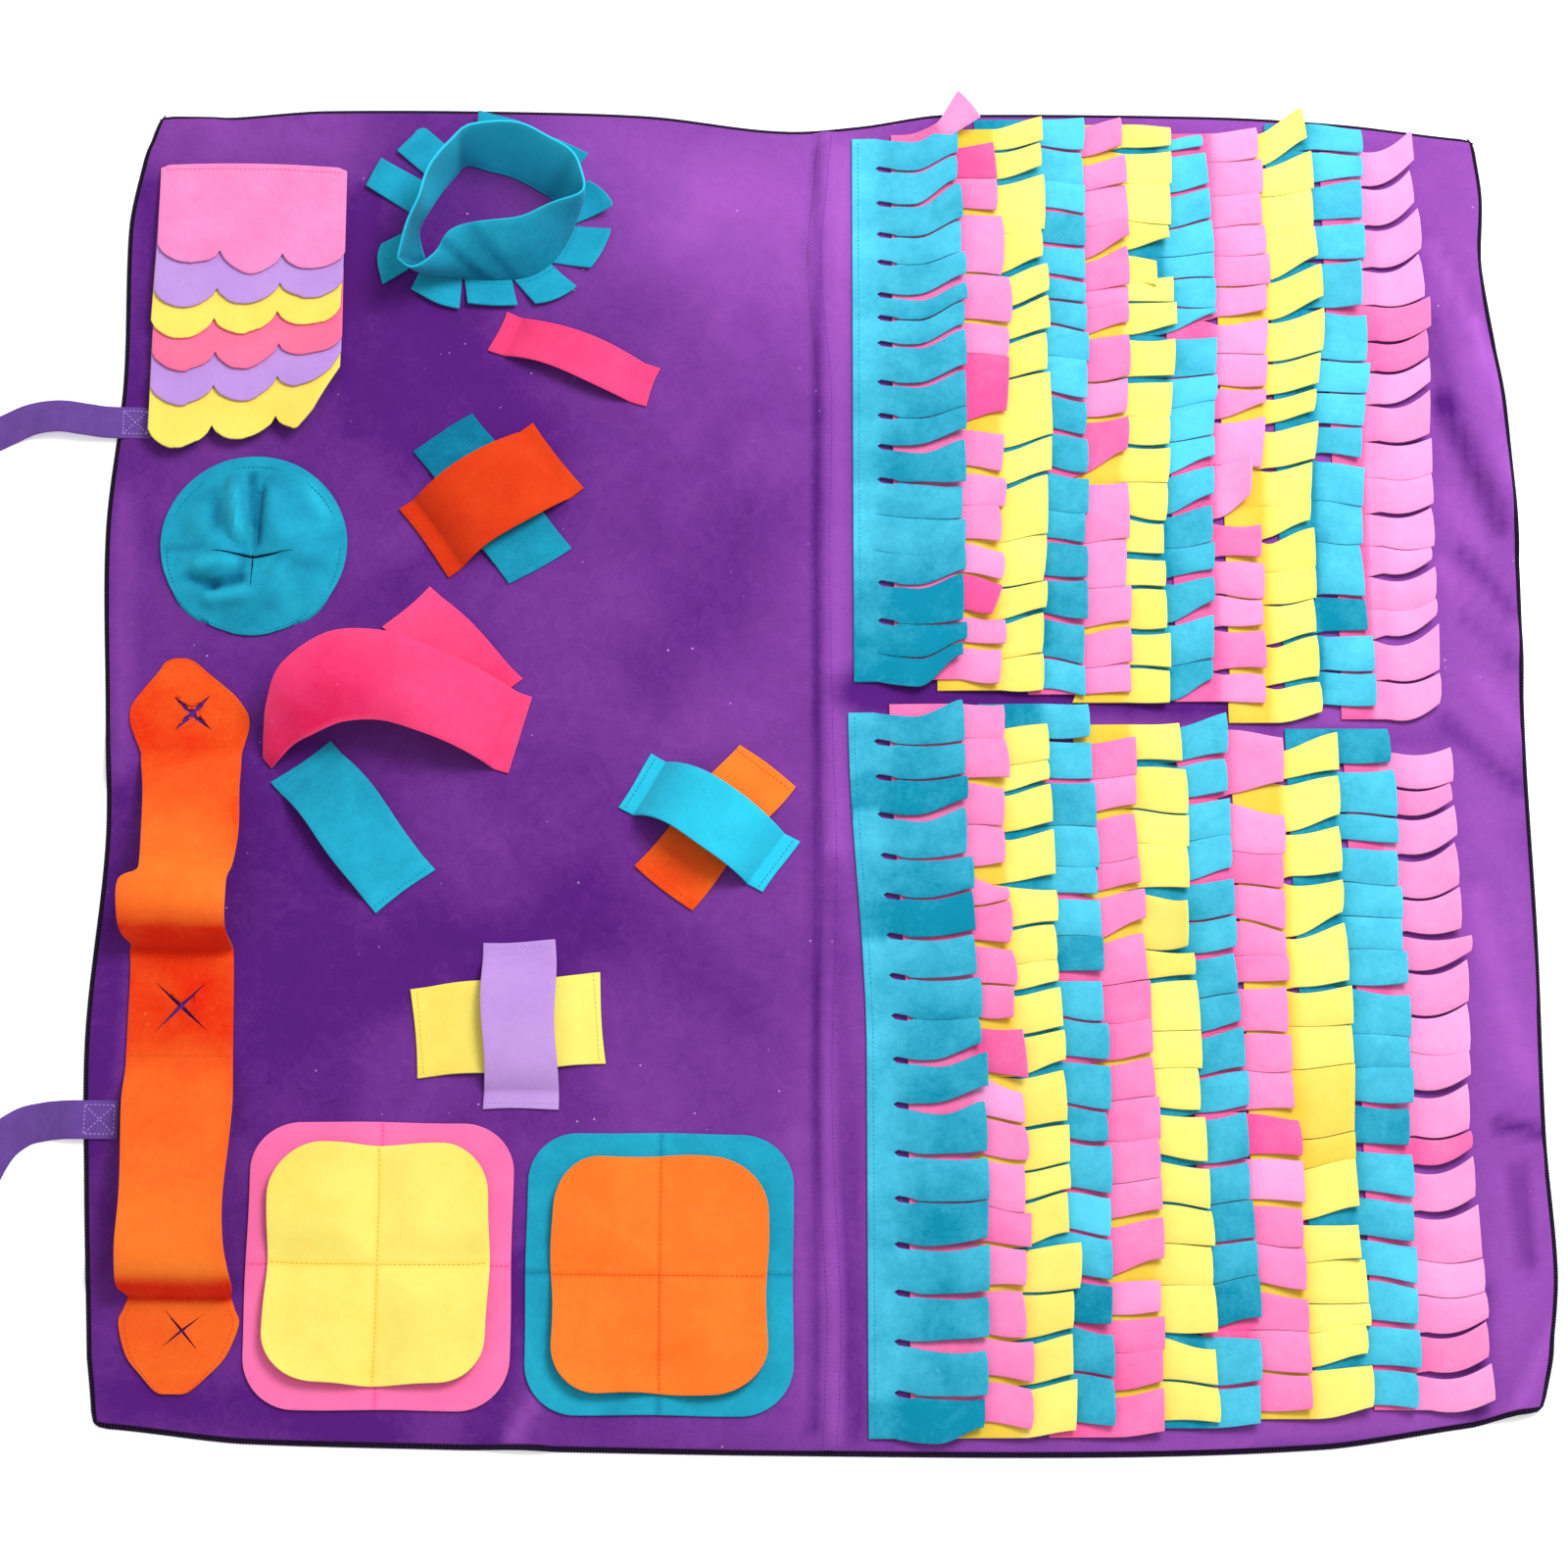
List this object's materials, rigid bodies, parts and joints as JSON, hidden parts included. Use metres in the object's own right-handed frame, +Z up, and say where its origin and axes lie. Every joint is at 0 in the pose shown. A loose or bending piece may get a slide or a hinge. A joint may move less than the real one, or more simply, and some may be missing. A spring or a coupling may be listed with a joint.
{
  "type": "snuffle mat",
  "caption": "Square fleece mat with shingled felt fringe, scalloped flaps, slit pockets, raised strips, a standing felt band and webbing ties, for hiding dry treats.",
  "frame": {"origin": "middle of the mat's underside, on the floor that it lies on", "axes": "+X to the right across the mat, away from the side with the ties; +Y towards the edge with the flaps and the standing band; +Z up from the floor"},
  "size_m": [1.2076, 1.0353, 0.0579],
  "materials": {
    "fleece": "short-napped fleece",
    "backing": "dark woven backing",
    "webbing": "woven webbing",
    "teal_felt": "matt felt",
    "pink_felt": "matt felt",
    "hot_pink_felt": "matt felt",
    "yellow_felt": "matt felt",
    "orange_felt": "matt felt",
    "lilac_felt": "matt felt"
  },
  "bodies": {
    "root": {"backing_cloth": "backing", "top_cloth": "fleece", "tie_upper": "webbing", "tie_lower": "webbing", "fringe_upper_01": "teal_felt", "fringe_upper_02": "pink_felt", "fringe_upper_03": "yellow_felt", "fringe_upper_04": "teal_felt", "fringe_upper_05": "pink_felt", "fringe_upper_06": "yellow_felt", "fringe_upper_07": "teal_felt", "fringe_upper_08": "pink_felt", "fringe_upper_09": "yellow_felt", "fringe_upper_10": "teal_felt", "fringe_upper_11": "pink_felt", "fringe_lower_01": "teal_felt", "fringe_lower_02": "pink_felt", "fringe_lower_03": "yellow_felt", "fringe_lower_04": "teal_felt", "fringe_lower_05": "pink_felt", "fringe_lower_06": "yellow_felt", "fringe_lower_07": "teal_felt", "fringe_lower_08": "pink_felt", "fringe_lower_09": "yellow_felt", "fringe_lower_10": "teal_felt", "fringe_lower_11": "pink_felt", "flap_1": "pink_felt", "flap_2": "lilac_felt", "flap_3": "yellow_felt", "flap_4": "hot_pink_felt", "flap_5": "lilac_felt", "flap_6": "yellow_felt", "crown_ring": "teal_felt", "slit_disc": "teal_felt", "arch_strip": "orange_felt", "pad_pink": "hot_pink_felt", "pad_yellow": "yellow_felt", "pad_teal": "teal_felt", "pad_orange": "orange_felt", "cross_a_under": "teal_felt", "cross_a_over": "orange_felt", "cross_b_under": "hot_pink_felt", "cross_b_over": "hot_pink_felt", "cross_c_under": "yellow_felt", "cross_c_over": "lilac_felt", "cross_d_under": "orange_felt", "cross_d_over": "teal_felt", "tunnel_e": "teal_felt", "tunnel_f": "hot_pink_felt"}
  },
  "joints": []
}
